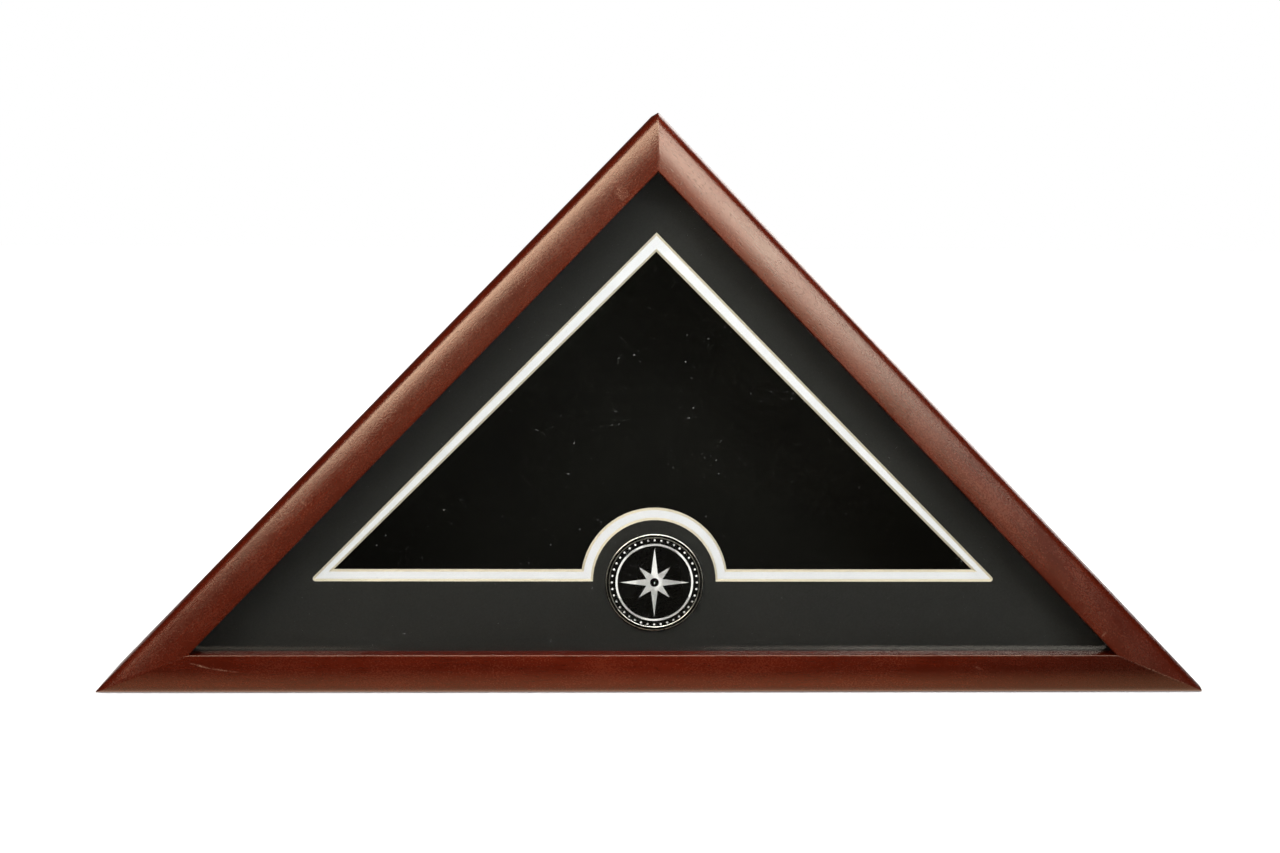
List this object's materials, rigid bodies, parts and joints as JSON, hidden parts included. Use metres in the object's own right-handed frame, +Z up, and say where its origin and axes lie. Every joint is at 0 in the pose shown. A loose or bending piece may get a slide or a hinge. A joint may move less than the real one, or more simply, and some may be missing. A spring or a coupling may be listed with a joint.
{
  "type": "folded flag display case",
  "caption": "Triangular wood and glass display case for a folded flag, with a double mat, a round medallion and a lift-out back held by turn buttons.",
  "frame": {"origin": "centre of the base, on the surface the case stands on", "axes": "+X along the base to the right as seen from the front, +Y to the back, +Z up; the glazed front faces -Y"},
  "size_m": [0.65, 0.1022, 0.3365],
  "materials": {
    "cherry_wood": "satin lacquer",
    "strip_wood": "raw",
    "pane_glass": "polished",
    "mat_black": "matte",
    "mat_white": "matte",
    "spacer_plastic": "matte",
    "silver_metal": "polished",
    "black_enamel": "gloss",
    "white_enamel": "gloss",
    "clear_resin": "polished",
    "foam_pad": "matte",
    "hardboard": "matte",
    "black_felt": "matte",
    "brass_plate": "satin",
    "zinc_steel": "satin",
    "bumper_rubber": "matte"
  },
  "bodies": {
    "case": {"left_front_rail": "cherry_wood", "right_front_rail": "cherry_wood", "bottom_front_rail": "cherry_wood", "left_side_board": "cherry_wood", "right_side_board": "cherry_wood", "bottom_board": "cherry_wood", "glass_pane": "pane_glass", "left_glass_spacer": "spacer_plastic", "left_mat_strip": "strip_wood", "right_glass_spacer": "spacer_plastic", "right_mat_strip": "strip_wood", "bottom_glass_spacer": "spacer_plastic", "bottom_mat_strip": "strip_wood", "top_mat": "mat_black", "under_mat": "mat_white", "mat_strip_brads": "zinc_steel", "mitre_v_nails": "zinc_steel", "medallion_pad": "foam_pad", "medallion_disc": "silver_metal", "medallion_black_inlay": "black_enamel", "medallion_white_design": "white_enamel", "medallion_dome": "clear_resin", "turn_button_screws": "zinc_steel", "turn_button_washers": "zinc_steel", "wall_bumpers": "bumper_rubber"},
    "back": {"back_panel": "hardboard", "back_lining": "black_felt", "sawtooth_hanger": "brass_plate", "hanger_rivets": "brass_plate"},
    "turn_button_left_low_body": {"turn_button_left_low": "zinc_steel"},
    "turn_button_left_high_body": {"turn_button_left_high": "zinc_steel"},
    "turn_button_right_low_body": {"turn_button_right_low": "zinc_steel"},
    "turn_button_right_high_body": {"turn_button_right_high": "zinc_steel"},
    "turn_button_bottom_left_body": {"turn_button_bottom_left": "zinc_steel"},
    "turn_button_bottom_right_body": {"turn_button_bottom_right": "zinc_steel"}
  },
  "joints": [
    {"name": "back_lift_out", "type": "slide", "parent": "case", "child": "back", "axis": [0, 1, 0], "range_m": [0, 0.1]},
    {"name": "turn_button_left_low_swing", "type": "hinge", "parent": "case", "child": "turn_button_left_low_body", "pos_m": [-0.24631, 0.04856, 0.07544], "axis": [0, 1, 0], "range_deg": [0, 90]},
    {"name": "turn_button_left_high_swing", "type": "hinge", "parent": "case", "child": "turn_button_left_high_body", "pos_m": [-0.10043, 0.04856, 0.2265], "axis": [0, 1, 0], "range_deg": [0, 90]},
    {"name": "turn_button_right_low_swing", "type": "hinge", "parent": "case", "child": "turn_button_right_low_body", "pos_m": [0.24631, 0.04856, 0.07544], "axis": [0, -1, 0], "range_deg": [0, 90]},
    {"name": "turn_button_right_high_swing", "type": "hinge", "parent": "case", "child": "turn_button_right_high_body", "pos_m": [0.10043, 0.04856, 0.2265], "axis": [0, -1, 0], "range_deg": [0, 90]},
    {"name": "turn_button_bottom_left_swing", "type": "hinge", "parent": "case", "child": "turn_button_bottom_left_body", "pos_m": [-0.15, 0.04856, 0.0042], "axis": [0, -1, 0], "range_deg": [0, 90]},
    {"name": "turn_button_bottom_right_swing", "type": "hinge", "parent": "case", "child": "turn_button_bottom_right_body", "pos_m": [0.15, 0.04856, 0.0042], "axis": [0, 1, 0], "range_deg": [0, 90]}
  ]
}
